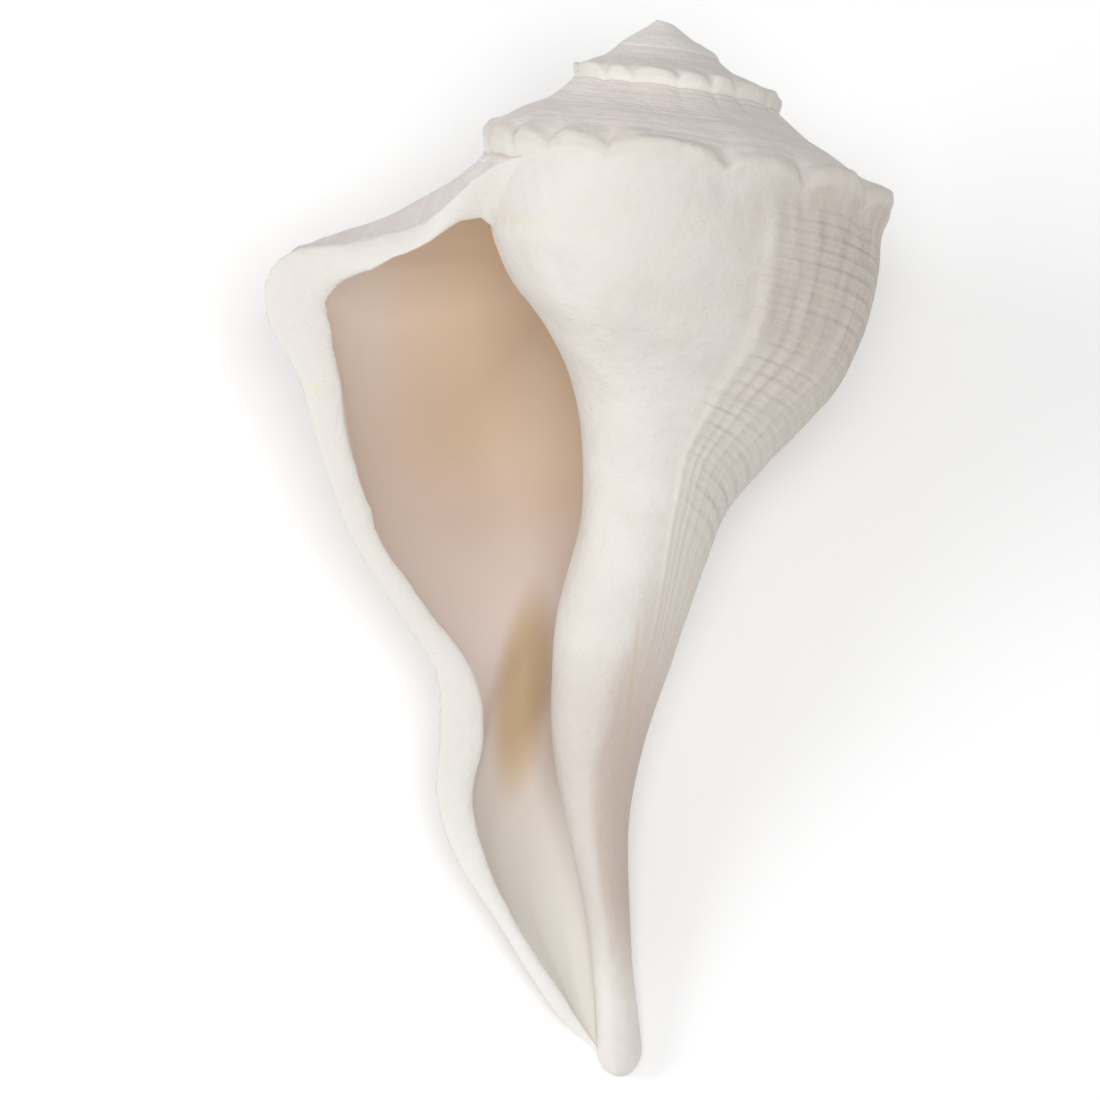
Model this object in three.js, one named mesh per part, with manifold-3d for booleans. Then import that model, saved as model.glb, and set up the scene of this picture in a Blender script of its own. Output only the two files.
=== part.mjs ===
// Left-handed (sinistral) knobbed whelk shell, 200 mm long, lying on its back with the mouth up.
// The whole shell is one piece: a wall wound in a widening left-handed spiral round its axis, open at
// the mouth, with the winding hollow inside it closed off two whorls up.
//
// "turn" counts half whorls back from the outer lip: 0 at the lip, 1 opposite it, 2 at the inner lip.
// "row" counts along an outline: 0 at the suture, SHOULDER at the keel, MOUTH_END at the foot of the
// mouth, TIP at the end of the siphonal canal. Outlines are (radius, depth below the apex) in mm.
import * as THREE from "three";
import { ParametricGeometry } from "three/addons/geometries/ParametricGeometry.js";
import { mergeGeometries, mergeVertices } from "three/addons/utils/BufferGeometryUtils.js";
import Module from "manifold-3d";

const LENGTH = 200;
const SHOULDER = 3;
const SUTURE = 4; // row that the next whorl covers from
const MOUTH_TOP = 6;
const MOUTH_END = 16;
const TIP = 17;

// Growth: how fast the whorls shrink towards the apex, per half whorl.
const RADIUS_SHRINK = 0.35;
const DEPTH_POWER = 1.167;
const LIP_START = -0.247; // turn where the lip's edge meets the whorl before, forward of the mouth
const FIRST_TURN = 8 + LIP_START;
const HOLLOW_END = 4;
const FREE_DEPTH = 70; // the columella above this depth only shrinks with the whorls

// Turns of the gaps between the knobs: measured ones at the front, regular ones elsewhere.
const KNOB_PITCH = 0.15;
const FRONT_GAPS = [1.12, 1.267, 1.395, 1.585, 1.7, 1.785, 1.89, 1.99];
const UPPER_GAPS = [3, 3.13, 3.265, 3.345, 3.447, 3.595, 3.705, 3.88];
const FIRST_GAP = -0.4;
const LAST_GAP = 9;
const KNOB_RISE = 3.3;
const KNOB_OUT = 1.7;
const APEX_CUT = 0.1; // the spiral's first bit, too small to matter

// How far it is pitched at rest on its back, and the depth of the worn flats that it rests on.
const REST_PITCH_DEG = 20;
const WORN_DEPTH = 0.5;

const STEPS_PER_WHORL = 60;

// Outline of the outer surface at the outer lip, opposite it, and at the inner lip.
const LIP = [
  [31.0, 27.0], [41.7, 31.8], [53.5, 38.8], [69.8, 45.4], [72.2, 58.0], [65.2, 70.5],
  [60.5, 85.0], [54.0, 99.5], [44.0, 112.5], [33.0, 125.0], [29.9, 137.0], [30.3, 149.0],
  [27.5, 161.0], [22.0, 171.0], [16.5, 181.0], [11.0, 189.5], [4.2, 195.0],
];
const FAR_SIDE = [
  [24.7, 17.5], [29.4, 22.4], [37.2, 27.3], [44.6, 33.6], [43.6, 39.0], [43.0, 47.0],
  [40.8, 57.5], [35.6, 68.5], [26.6, 77.6], [18.2, 87.5], [14.0, 99.5], [11.5, 112.0],
  [10.3, 124.0], [8.4, 137.0], [5.2, 154.0], [3.4, 176.0], [4.2, 194.5],
];
const INNER_LIP = [
  [16.3, 11.8], [20.8, 15.3], [26.8, 18.0], [32.3, 21.4], [32.3, 26.0], [31.6, 33.5],
  [30.2, 41.0], [25.9, 49.5], [19.3, 57.4], [14.2, 67.0], [11.3, 79.0], [10.5, 94.0],
  [12.8, 112.0], [10.3, 129.0], [6.2, 152.0], [4.4, 177.0], [4.2, 195.0],
];
// Step from the outer surface to the inner one at the lip, where the wall is thickest.
const LIP_WALL = [
  [-1.0, 7.0], [0.0, 5.8], [-2.5, 5.3], [-10.5, 6.0], [-12.0, 2.2], [-7.9, 0.5],
  [-6.3, 0.0], [-5.4, 0.0], [-6.0, 0.0], [-7.2, 0.0], [-8.1, 0.0], [-6.6, 0.0],
  [-5.5, 0.0], [-3.7, 0.0], [-3.9, 0.0], [-3.3, 0.0], [0.0, 0.0],
];
const THIN_WALL = 0.55; // share of the lip's thickness that is left inside
const LIP_FADE = 0.12;
const CORNER_START = -0.1; // turn of the mouth's upper corner
const LIP_DIP = [0, 7.2, 6.4, 3.2]; // how far each row of the ramp sags towards the lip

const spread = (low, high, count) =>
  Array.from({ length: count + 1 }, (_, i) => low + ((high - low) * i) / count);
const smooth = (x, low, high) => THREE.MathUtils.smoothstep(x, low, high);

// Sideways lean of the axis: a little to the right at the spire, to the left along the canal.
function bend(depth) {
  const spire = 1.2 * (1 - Math.exp(-depth / 6)) * Math.exp(-((depth / 45) ** 2));
  const width = depth < 141 ? 26 : 30;
  const canal = -6 * Math.exp(-(((depth - 141) / width) ** 2));
  return spire + canal + 0.6 * smooth(depth, 178, 196);
}

// Point in space from a place on an outline. The lip faces -X, and the mouth faces +Z.
function place(turn, radius, depth) {
  const angle = Math.PI * (1 - turn);
  return new THREE.Vector3(
    radius * Math.cos(angle) + bend(depth),
    -depth,
    -radius * Math.sin(angle),
  );
}

// Cubic through three values at turns 0, 1 and 2, leaving turn 2 with the given slope.
function through(turn, [atLip, atFar, atInner], endSlope) {
  const middle = (atInner - atLip) / 2;
  const [a, b, slopeA, slopeB, x] =
    turn < 1
      ? [atLip, atFar, 2 * (atFar - atLip) - middle, middle, turn]
      : [atFar, atInner, middle, endSlope, turn - 1];
  const x2 = x * x;
  const x3 = x2 * x;
  return (
    a * (2 * x3 - 3 * x2 + 1) + slopeA * (x3 - 2 * x2 + x) +
    b * (3 * x2 - 2 * x3) + slopeB * (x3 - x2)
  );
}

// Turn in the hollow, which starts a little further forward near the mouth's upper corner.
const mouthTurn = (turn, away) =>
  turn + CORNER_START * (1 - smooth(away, 0, SHOULDER)) * (1 - smooth(turn, 0, 0.4));

// Turn on the body whorl, for share 0 at the lip's edge to 1 at the whorl's end. Near the suture the
// ramp starts further forward, over the whorl before, and so the whorl ends there that much sooner.
function bodyTurn(share, row) {
  const forward = LIP_START * Math.max(0, 1 - row / SHOULDER) ** 3.5;
  const above = Math.min(1, Math.max(0, (MOUTH_TOP - row) / (MOUTH_TOP - SUTURE)));
  const corner = row < MOUTH_TOP ? CORNER_START : mouthTurn(0, row - MOUTH_TOP);
  const sooner = LIP_START * above + corner * (1 - above);
  return 2 * share + forward * (1 - smooth(share, 0, 0.25)) + sooner * smooth(share, 0.75, 1);
}

const outlines = new Map();

// Control points of the outline at a turn: [radius, depth] for rows 0 to MOUTH_END.
function outline(turn) {
  const key = turn.toFixed(6);
  if (outlines.has(key)) return outlines.get(key);
  const points = LIP.map((_, i) => {
    const radii = [LIP[i][0], FAR_SIDE[i][0], INNER_LIP[i][0]];
    const depths = [LIP[i][1], FAR_SIDE[i][1], INNER_LIP[i][1]];
    if (turn > 2) {
      const back = turn - 2;
      const start = Math.max(0, (turn - (FIRST_TURN - 2)) / 2);
      const fade = 1 - start * start;
      return [
        radii[2] * Math.exp(-RADIUS_SHRINK * back) * fade,
        depths[2] * Math.exp(-RADIUS_SHRINK * DEPTH_POWER * back) * fade ** 1.6,
      ];
    }
    const spiral = i <= 5;
    const radiusSlope = spiral ? -RADIUS_SHRINK : Math.log(radii[2] / radii[1]);
    const depthSlope = spiral ? -RADIUS_SHRINK * DEPTH_POWER * depths[2] : depths[2] - depths[1];
    return [
      Math.exp(through(turn, radii.map(Math.log), radiusSlope)),
      through(turn, depths, depthSlope),
    ];
  });
  const near = 1 - smooth(turn, -0.06, 0.1);
  LIP_DIP.forEach((dip, i) => (points[i][1] += dip * near));
  points[0] = turn + 2 < FIRST_TURN ? outer(turn + 2, SUTURE) : [0, 0];
  const plain = 0.85 * smooth(turn, 4.3, 5.5); // the earliest whorls have no shoulder
  for (let i = 1; i < SUTURE; i++) {
    const even = points[0].map((start, axis) => start + ((points[SUTURE][axis] - start) * i) / SUTURE);
    points[i] = points[i].map((value, axis) => value + (even[axis] - value) * plain);
  }
  outlines.set(key, points);
  return points;
}

// Uniform Catmull-Rom through an outline's control points.
function along(points, row) {
  const last = points.length - 1;
  const i = Math.min(Math.floor(row), last - 1);
  const x = row - i;
  const at = (k) => points[Math.min(Math.max(k, 0), last)];
  return [0, 1].map((axis) => {
    const [a, b, c, d] = [at(i - 1)[axis], at(i)[axis], at(i + 1)[axis], at(i + 2)[axis]];
    return b + 0.5 * x * (c - a + x * (2 * a - 5 * b + 4 * c - d + x * (3 * (b - c) + d - a)));
  });
}

// Gaps between two turns, close to evenly spaced.
function evenGaps(start, end) {
  const count = Math.round((end - start) / KNOB_PITCH);
  const pitch = (end - start) / count;
  return spread(1, count - 1, count - 2).map((k) => start + pitch * (k + 0.16 * Math.sin(7.3 * k)));
}

const gaps = [
  FIRST_GAP,
  ...evenGaps(FIRST_GAP, FRONT_GAPS[0]),
  ...FRONT_GAPS,
  ...evenGaps(FRONT_GAPS.at(-1), UPPER_GAPS[0]),
  ...UPPER_GAPS,
  ...evenGaps(UPPER_GAPS.at(-1), LAST_GAP),
  LAST_GAP,
];

// Rounded lobes along the keel, with tight gaps between them.
function knob(turn, row) {
  const i = gaps.findIndex((gap) => gap >= turn);
  const width = gaps[i] - gaps[i - 1];
  const x = Math.abs((2 * (turn - gaps[i - 1])) / width - 1);
  const tall = THREE.MathUtils.clamp(width / KNOB_PITCH, 0.8, 1.15);
  const lobe = tall * Math.max(0, 1 - x ** 2.4) ** 0.75 - 0.55;
  const reach = row < SHOULDER ? 0.42 : 0.95;
  const faint = (1 - smooth(turn, 4.2, 5.4)) * smooth(turn, 0, 0.2) * (1.5 - 0.5 * smooth(turn, 1.2, 1.35));
  const size = Math.min(1, Math.exp(-RADIUS_SHRINK * (turn - 1))) * faint;
  return lobe * size * Math.exp(-(((row - SHOULDER) / reach) ** 2));
}

// Outer surface: [radius, depth] at a turn and row, knobs included.
function outer(turn, row) {
  if (turn > FIRST_TURN - APEX_CUT) return [0, 0];
  if (row > MOUTH_END) {
    const [radius, depth] = outer(turn, MOUTH_END);
    const share = (row - MOUTH_END) / (TIP - MOUTH_END);
    return [radius * Math.sqrt(1 - share * share), depth + (LENGTH - depth) * share];
  }
  const [radius, depth] = along(outline(turn), row);
  const lobe = row > 0 ? knob(turn, row) : 0;
  return [radius + KNOB_OUT * lobe, depth - KNOB_RISE * lobe];
}

// Row of the outer wall where the hollow's foot is, at a turn.
const footRow = (turn) => 9.5 + (MOUTH_END - 9.5) * Math.exp(-1.9 * turn);

// How the columella's outline at the inner lip is scaled, up and down, to fit inside a turn.
function fit(turn) {
  const shrink = Math.exp(-RADIUS_SHRINK * turn);
  const sink = shrink ** DEPTH_POWER;
  const foot = outer(turn, footRow(turn))[1];
  const squeeze = (foot - sink * FREE_DEPTH) / (sink * (INNER_LIP[MOUTH_END][1] - FREE_DEPTH));
  return { shrink, sink, squeeze };
}

// Columella and parietal wall: the hollow's inner side, for rows MOUTH_TOP to MOUTH_END.
function inner(turn, row) {
  const [radius, depth] = outer(mouthTurn(0, row - MOUTH_TOP) + 2, row);
  const { shrink, sink, squeeze } = fit(turn);
  const low = Math.max(0, depth - FREE_DEPTH);
  return [radius * shrink, sink * (Math.min(depth, FREE_DEPTH) + low * squeeze)];
}

// Radius of the columella at a depth.
function innerRadius(turn, depth) {
  const { shrink, sink, squeeze } = fit(turn);
  const scaled = depth / sink;
  const goal = scaled < FREE_DEPTH ? scaled : FREE_DEPTH + (scaled - FREE_DEPTH) / squeeze;
  let [low, high] = [MOUTH_TOP, MOUTH_END];
  for (let i = 0; i < 24; i++) {
    const middle = (low + high) / 2;
    if (outer(2, middle)[1] < goal) low = middle;
    else high = middle;
  }
  return outer(2, low)[0] * shrink;
}

// Outer wall of the hollow, for share 0 at its ceiling's corner to 1 at its foot.
function ceilingAndWall(turn, evenShare) {
  const share = 1 - (1 - evenShare) ** (1 + 0.6 * smooth(turn, 0, 0.25));
  const row = share * footRow(turn);
  const [radius, depth] = along(outline(turn), row);
  const [inward, down] = along(LIP_WALL, share * MOUTH_END);
  const thick = (THIN_WALL + (1 - THIN_WALL) * Math.exp(-turn / LIP_FADE)) * Math.exp(-0.2 * turn);
  const start = 0.8 + 0.17 * Math.exp(-turn / 0.1);
  const end = Math.max(0, (share - start) / (1 - start));
  const open = Math.sqrt(1 - end * end);
  const wall = [radius + inward * thick, depth + down * thick];
  const post = innerRadius(turn, wall[1]);
  const corner = inner(turn, MOUTH_TOP);
  const join = 1 - smooth(share * MOUTH_END, 0, 1);
  return [
    (post + (wall[0] - post) * open) * (1 - join) + corner[0] * join,
    wall[1] * (1 - join) + corner[1] * join,
  ];
}

// Point in the hollow, from a place on its outline that is so many rows away from the corner. The
// hollow narrows to a point at its upper end.
function hollow(turn, away, point) {
  const centre = inner(turn, 8);
  const end = Math.max(0, (turn - (HOLLOW_END - 0.5)) / 0.5);
  const open = Math.sqrt(Math.max(0, 1 - end * end));
  const middle = [centre[0] * 1.6, centre[1]];
  const spot = point.map((value, axis) => middle[axis] + (value - middle[axis]) * open);
  return place(mouthTurn(turn, away), ...spot);
}


const bodyShares = spread(0, 1, STEPS_PER_WHORL);
const whorlTurns = (first) => bodyShares.map((share) => first + bodyTurn(share, 0));
const spireTurns = [...whorlTurns(2), ...whorlTurns(4).slice(1), ...whorlTurns(6).slice(1)];
const hollowTurns = [
  ...spread(0, 1, 22).map((x) => x ** 1.5), ...spread(1, 2, 6).slice(1), ...spread(2, HOLLOW_END, 8).slice(1),
];
const rampRows = [0, 0.4, 1, 1.8, 2.5, 3, 3.5, SUTURE];
const rimShares = spread(0, 1, 2);
const upperRows = spread(SUTURE, MOUTH_TOP, 2);
const mouthRows = [...spread(MOUTH_TOP, MOUTH_END - 1, 15), MOUTH_END - 0.5, MOUTH_END];
const tipRows = [MOUTH_END + 0.5, MOUTH_END + 0.85, TIP];
const lipRows = [...rampRows, ...upperRows.slice(1), ...mouthRows.slice(1)];

// A surface over two lists of values. Its faces look along the first list's way crossed with the second's.
function patch(first, second, point) {
  const value = (list, share) => list[Math.round(share * (list.length - 1))];
  const surface = (a, b, target) => target.copy(point(value(first, a), value(second, b)));
  return new ParametricGeometry(surface, first.length - 1, second.length - 1);
}

const outerAt = (turn, row) => place(turn, ...outer(turn, row));

const spire = () =>
  patch(spireTurns, rampRows, (turn, row) => outerAt(turn, row));

const bodyWhorl = () =>
  patch(bodyShares, [...lipRows, ...tipRows], (share, row) => outerAt(bodyTurn(share, row), row));

// The edge of the outer lip, from the outer surface to the hollow. It bulges forward a little.
function lipEdge() {
  return patch(lipRows, rimShares, (row, share) => {
    const root = SUTURE + share * (MOUTH_TOP - SUTURE);
    if (row === 0) return outerAt(bodyTurn(1, root), root);
    const from = outerAt(bodyTurn(0, row), row);
    const to = place(mouthTurn(0, row), ...ceilingAndWall(0, row / MOUTH_END));
    const bulge = 1.2 * Math.sin(Math.PI * share) * smooth(row, 0, 1) * (1 - smooth(row, 14, MOUTH_END));
    return from.lerp(to, share).add(new THREE.Vector3(0, 0, bulge));
  });
}

const hollowWall = () =>
  patch(lipRows, hollowTurns, (row, turn) => hollow(turn, row, ceilingAndWall(turn, row / MOUTH_END)));

const columella = () =>
  patch(hollowTurns, mouthRows, (turn, row) => hollow(turn, row - MOUTH_TOP, inner(turn, row)));

// One closed geometry with shared vertices and no faces that have shrunk to a line.
function sewn(patches) {
  const joined = mergeGeometries(patches);
  joined.deleteAttribute("normal");
  joined.deleteAttribute("uv");
  const merged = mergeVertices(joined, 1e-3);
  const index = merged.index.array;
  const kept = [];
  for (let i = 0; i < index.length; i += 3) {
    const [a, b, c] = index.subarray(i, i + 3);
    if (a !== b && b !== c && c !== a) kept.push(a, b, c);
  }
  return merged.setIndex(kept);
}

function solidOf(wasm, geometry) {
  return new wasm.Manifold(new wasm.Mesh({
    numProp: 3,
    vertProperties: geometry.attributes.position.array,
    triVerts: new Uint32Array(geometry.index.array),
  }));
}

function geometryOf(solid) {
  const { vertProperties, triVerts } = solid.getMesh();
  return new THREE.BufferGeometry()
    .setAttribute("position", new THREE.BufferAttribute(vertProperties, 3))
    .setIndex(new THREE.BufferAttribute(triVerts, 1));
}

// Turned to the way it rests, then set down so that its box stands centred on the origin.
function setDown(geometry) {
  geometry.rotateX(THREE.MathUtils.degToRad(REST_PITCH_DEG));
  geometry.computeBoundingBox();
  const { min, max } = geometry.boundingBox;
  return geometry.translate(-(min.x + max.x) / 2, -(min.y + max.y) / 2, -min.z - WORN_DEPTH);
}

// The shell above the surface that it rests on: the knobs that touch it are worn flat.
function worn(wasm, geometry) {
  const room = new THREE.BoxGeometry(2 * LENGTH, 2 * LENGTH, LENGTH).translate(0, 0, LENGTH / 2);
  room.deleteAttribute("normal");
  room.deleteAttribute("uv");
  return geometryOf(solidOf(wasm, geometry).intersect(solidOf(wasm, mergeVertices(room))));
}

const wasm = await Module();
wasm.setup();

const patches = [spire(), bodyWhorl(), lipEdge(), hollowWall(), columella()];
const chalk = new THREE.MeshStandardMaterial({ color: 0xeae5de, roughness: 0.55, metalness: 0 });
const shell = new THREE.Mesh(worn(wasm, setDown(sewn(patches))), chalk);
shell.name = "shell";

const root = new THREE.Group();
root.add(shell);
export default root;
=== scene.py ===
"""A left-handed knobbed whelk shell, bleached by sun and sea, on its back with its mouth up."""

from __future__ import annotations

import logging
import math
from bisect import bisect_left
from dataclasses import dataclass, field
from enum import Enum, IntEnum
from typing import Callable, Sequence

import bmesh
import bpy
from mathutils import Matrix, Vector, noise

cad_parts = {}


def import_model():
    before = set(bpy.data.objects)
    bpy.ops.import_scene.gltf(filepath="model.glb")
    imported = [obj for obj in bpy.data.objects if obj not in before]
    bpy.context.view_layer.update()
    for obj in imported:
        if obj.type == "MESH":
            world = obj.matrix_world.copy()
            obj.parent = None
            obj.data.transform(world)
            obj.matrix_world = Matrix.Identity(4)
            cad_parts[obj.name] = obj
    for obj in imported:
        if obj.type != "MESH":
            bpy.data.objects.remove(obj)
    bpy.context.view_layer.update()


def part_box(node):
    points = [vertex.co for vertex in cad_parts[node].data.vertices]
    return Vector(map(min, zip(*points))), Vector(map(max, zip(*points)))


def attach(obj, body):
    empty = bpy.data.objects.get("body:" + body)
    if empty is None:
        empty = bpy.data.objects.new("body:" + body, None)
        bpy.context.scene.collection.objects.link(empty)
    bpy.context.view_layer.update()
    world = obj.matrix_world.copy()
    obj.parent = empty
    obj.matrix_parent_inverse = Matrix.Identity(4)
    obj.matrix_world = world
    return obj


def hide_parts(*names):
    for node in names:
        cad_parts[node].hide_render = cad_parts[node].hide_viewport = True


LOG = logging.getLogger("whelk")
MM = 0.001
FAR_OUTSIDE = -40.0  # mm from the mouth's inner edge, for skin that is nowhere near it

Spot = tuple[float, float]  # radius and depth below the apex, in mm
Colour = tuple[float, float, float]


def smooth(x: float, low: float, high: float) -> float:
    """Smooth step from 0 at low to 1 at high."""
    t = min(1.0, max(0.0, (x - low) / (high - low)))
    return t * t * (3 - 2 * t)


def bump_at(x: float, centre: float, reach: float) -> float:
    """Bell curve of height 1 round a centre."""
    return math.exp(-(((x - centre) / reach) ** 2))


def spread(low: float, high: float, count: int) -> list[float]:
    """Evenly spaced values from low to high, count steps."""
    return [low + (high - low) * i / count for i in range(count + 1)]


def curve(points: Sequence[Spot], row: float) -> Spot:
    """Uniform Catmull-Rom curve through points.

    Args:
        points: The points that the curve passes through.
        row: Place along the curve, counted in points.

    Returns:
        The point on the curve.
    """
    last = len(points) - 1
    i = min(int(row), last - 1)
    x = row - i
    a, b, c, d = (points[min(max(k, 0), last)] for k in (i - 1, i, i + 1, i + 2))
    return tuple(
        q + 0.5 * x * (r - p + x * (2 * p - 5 * q + 4 * r - s + x * (3 * (q - r) + s - p)))
        for p, q, r, s in zip(a, b, c, d)
    )


class Row(IntEnum):
    """Named rows along an outline, from the suture to the tip of the canal."""

    SHOULDER = 3
    SUTURE = 4
    MOUTH_TOP = 6
    MOUTH_END = 16
    TIP = 17


@dataclass
class Growth:
    """The form of the shell: outlines that change with the turn, wound round a bent axis.

    A turn is half a whorl, counted back from the outer lip: 0 at the lip, 1 opposite it, 2 at the
    inner lip. Sizes are in mm. The three outlines hold one spot for each row from 0 to MOUTH_END,
    and the lip's wall says how far in and down from the outer edge its inner edge is.
    """

    length: float = 200.0
    radius_shrink: float = 0.35
    depth_power: float = 1.167
    lip_start: float = -0.247
    corner_start: float = -0.1
    apex_cut: float = 0.1
    hollow_end: float = 4.0
    free_depth: float = 70.0
    thin_wall: float = 0.55
    lip_fade: float = 0.12
    lip_dip: tuple[float, ...] = (0.0, 7.2, 6.4, 3.2)
    knob_rise: float = 3.3
    knob_out: float = 1.7
    knob_pitch: float = 0.15
    knob_stray: float = 0.16
    first_gap: float = -0.4
    last_gap: float = 9.0
    front_gaps: tuple[float, ...] = (1.12, 1.267, 1.395, 1.585, 1.7, 1.785, 1.89, 1.99)
    upper_gaps: tuple[float, ...] = (3.0, 3.13, 3.265, 3.345, 3.447, 3.595, 3.705, 3.88)
    lip: tuple[Spot, ...] = (
        (31.0, 27.0), (41.7, 31.8), (53.5, 38.8), (69.8, 45.4), (72.2, 58.0), (65.2, 70.5),
        (60.5, 85.0), (54.0, 99.5), (44.0, 112.5), (33.0, 125.0), (29.9, 137.0), (30.3, 149.0),
        (27.5, 161.0), (22.0, 171.0), (16.5, 181.0), (11.0, 189.5), (4.2, 195.0),
    )
    far_side: tuple[Spot, ...] = (
        (24.7, 17.5), (29.4, 22.4), (37.2, 27.3), (44.6, 33.6), (43.6, 39.0), (43.0, 47.0),
        (40.8, 57.5), (35.6, 68.5), (26.6, 77.6), (18.2, 87.5), (14.0, 99.5), (11.5, 112.0),
        (10.3, 124.0), (8.4, 137.0), (5.2, 154.0), (3.4, 176.0), (4.2, 194.5),
    )
    inner_lip: tuple[Spot, ...] = (
        (16.3, 11.8), (20.8, 15.3), (26.8, 18.0), (32.3, 21.4), (32.3, 26.0), (31.6, 33.5),
        (30.2, 41.0), (25.9, 49.5), (19.3, 57.4), (14.2, 67.0), (11.3, 79.0), (10.5, 94.0),
        (12.8, 112.0), (10.3, 129.0), (6.2, 152.0), (4.4, 177.0), (4.2, 195.0),
    )
    lip_wall: tuple[Spot, ...] = (
        (-1.0, 8.2), (0.0, 6.6), (-2.5, 5.5), (-9.2, 6.4), (-12.0, 2.2), (-7.9, 0.5),
        (-6.3, 0.0), (-5.4, 0.0), (-6.0, 0.0), (-7.2, 0.0), (-8.1, 0.0), (-6.6, 0.0),
        (-5.5, 0.0), (-3.7, 0.0), (-3.9, 0.0), (-3.3, 0.0), (0.0, 0.0),
    )
    first_turn: float = field(init=False)
    _outlines: dict[float, list[Spot]] = field(init=False, default_factory=dict)
    _gaps: list[float] = field(init=False)
    _post: list[Spot] = field(init=False)

    def __post_init__(self) -> None:
        """Sets out the gaps between the knobs and the columella's profile."""
        self.first_turn = 8 + self.lip_start
        gaps = [self.first_gap, *self.front_gaps, *self.upper_gaps, self.last_gap]
        for start, end in (
            (self.first_gap, self.front_gaps[0]),
            (self.front_gaps[-1], self.upper_gaps[0]),
            (self.upper_gaps[-1], self.last_gap),
        ):
            count = round((end - start) / self.knob_pitch)
            pitch = (end - start) / count
            strays = [self.knob_stray * math.sin(7.3 * k) for k in range(count)]
            gaps += [start + pitch * (k + strays[k]) for k in range(1, count)]
        self._gaps = sorted(gaps)
        rows = spread(Row.MOUTH_TOP, Row.MOUTH_END, 240)
        self._post = [(self.outer(2.0, row)[1], self.outer(2.0, row)[0]) for row in rows]

    @staticmethod
    def bend(depth: float) -> float:
        """Sideways lean of the axis: a little right at the spire, left along the canal.

        Args:
            depth: Depth below the apex, in mm.

        Returns:
            The shift to the right, in mm.
        """
        spire = 1.2 * (1 - math.exp(-depth / 6)) * bump_at(depth, 0, 45)
        canal = -6 * bump_at(depth, 141, 26 if depth < 141 else 30)
        return spire + canal + 0.6 * smooth(depth, 178, 196)

    def place(self, turn: float, spot: Spot) -> Vector:
        """Places a spot in space: the lip faces -X, the spire +Y and the mouth +Z.

        Args:
            turn: The turn.
            spot: The spot at that turn.

        Returns:
            The point, in mm.
        """
        angle = math.pi * (1 - turn)
        radius, depth = spot
        across = radius * math.cos(angle) + self.bend(depth)
        return Vector((across, -depth, -radius * math.sin(angle)))

    @staticmethod
    def through(turn: float, values: Sequence[float], end_slope: float) -> float:
        """Cubic through three values at turns 0, 1 and 2.

        Args:
            turn: Where to read the curve, at most 2.
            values: The values at the outer lip, opposite it and at the inner lip.
            end_slope: The slope that the curve leaves turn 2 with.

        Returns:
            The value at the turn.
        """
        lip, far, inner = values
        middle = (inner - lip) / 2
        if turn < 1:
            a, b, slope_a, slope_b, x = lip, far, 2 * (far - lip) - middle, middle, turn
        else:
            a, b, slope_a, slope_b, x = far, inner, middle, end_slope, turn - 1
        x2, x3 = x * x, x * x * x
        return (
            a * (2 * x3 - 3 * x2 + 1) + slope_a * (x3 - 2 * x2 + x)
            + b * (3 * x2 - 2 * x3) + slope_b * (x3 - x2)
        )

    def outline(self, turn: float) -> list[Spot]:
        """Outer outline, without its knobs.

        Args:
            turn: The turn.

        Returns:
            One spot for each row from 0 to MOUTH_END.
        """
        key = round(turn, 6)
        if key in self._outlines:
            return self._outlines[key]
        points: list[Spot] = []
        sink = self.radius_shrink * self.depth_power
        for i, (lip, far, inner) in enumerate(zip(self.lip, self.far_side, self.inner_lip)):
            if turn > 2:
                start = max(0.0, (turn - self.first_turn + 2) / 2)
                fade = 1 - start * start
                back = turn - 2
                points.append((
                    inner[0] * math.exp(-self.radius_shrink * back) * fade,
                    inner[1] * math.exp(-sink * back) * fade ** 2.1,
                ))
                continue
            spiral = i <= 5
            slope_r = -self.radius_shrink if spiral else math.log(inner[0] / far[0])
            slope_d = -sink * inner[1] if spiral else inner[1] - far[1]
            radii = [math.log(spot[0]) for spot in (lip, far, inner)]
            points.append((
                math.exp(self.through(turn, radii, slope_r)),
                self.through(turn, (lip[1], far[1], inner[1]), slope_d),
            ))
        near = 1 - smooth(turn, -0.06, 0.1)
        for i, dip in enumerate(self.lip_dip):
            points[i] = (points[i][0], points[i][1] + dip * near)
        covered = turn + 2 < self.first_turn
        points[0] = self.outer(turn + 2, Row.SUTURE) if covered else (0.0, 0.0)
        plain = 0.7 * smooth(turn, 4.3, 5.5)
        for i in range(1, Row.SUTURE):
            ends = zip(points[0], points[Row.SUTURE])
            even = tuple(a + (b - a) * i / Row.SUTURE for a, b in ends)
            points[i] = tuple(a + (b - a) * plain for a, b in zip(points[i], even))
        self._outlines[key] = points
        return points

    def lobe(self, turn: float) -> float:
        """Height of the scalloped keel.

        Args:
            turn: The turn.

        Returns:
            0 in the gap between two knobs, about 1 on top of one.
        """
        i = min(max(bisect_left(self._gaps, turn), 1), len(self._gaps) - 1)
        low, high = self._gaps[i - 1], self._gaps[i]
        x = abs(2 * (turn - low) / (high - low) - 1)
        tall = min(1.15, max(0.8, (high - low) / self.knob_pitch))
        return tall * max(0.0, 1 - x ** 2.4) ** 0.75

    def knob(self, turn: float, row: float) -> float:
        """How far the knobs lift the surface.

        Args:
            turn: The turn.
            row: The row.

        Returns:
            The lift, as a share of a knob's full height.
        """
        if row <= 0:
            return 0.0
        reach = 0.4 if row < Row.SHOULDER else 0.95
        size = min(1.0, math.exp(-self.radius_shrink * (turn - 1)))
        size *= (1 - smooth(turn, 4.2, 5.4)) * smooth(turn, 0, 0.2)
        size *= 1.5 - 0.5 * smooth(turn, 1.2, 1.35)
        return (self.lobe(turn) - 0.55) * size * bump_at(row, Row.SHOULDER, reach)

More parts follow.
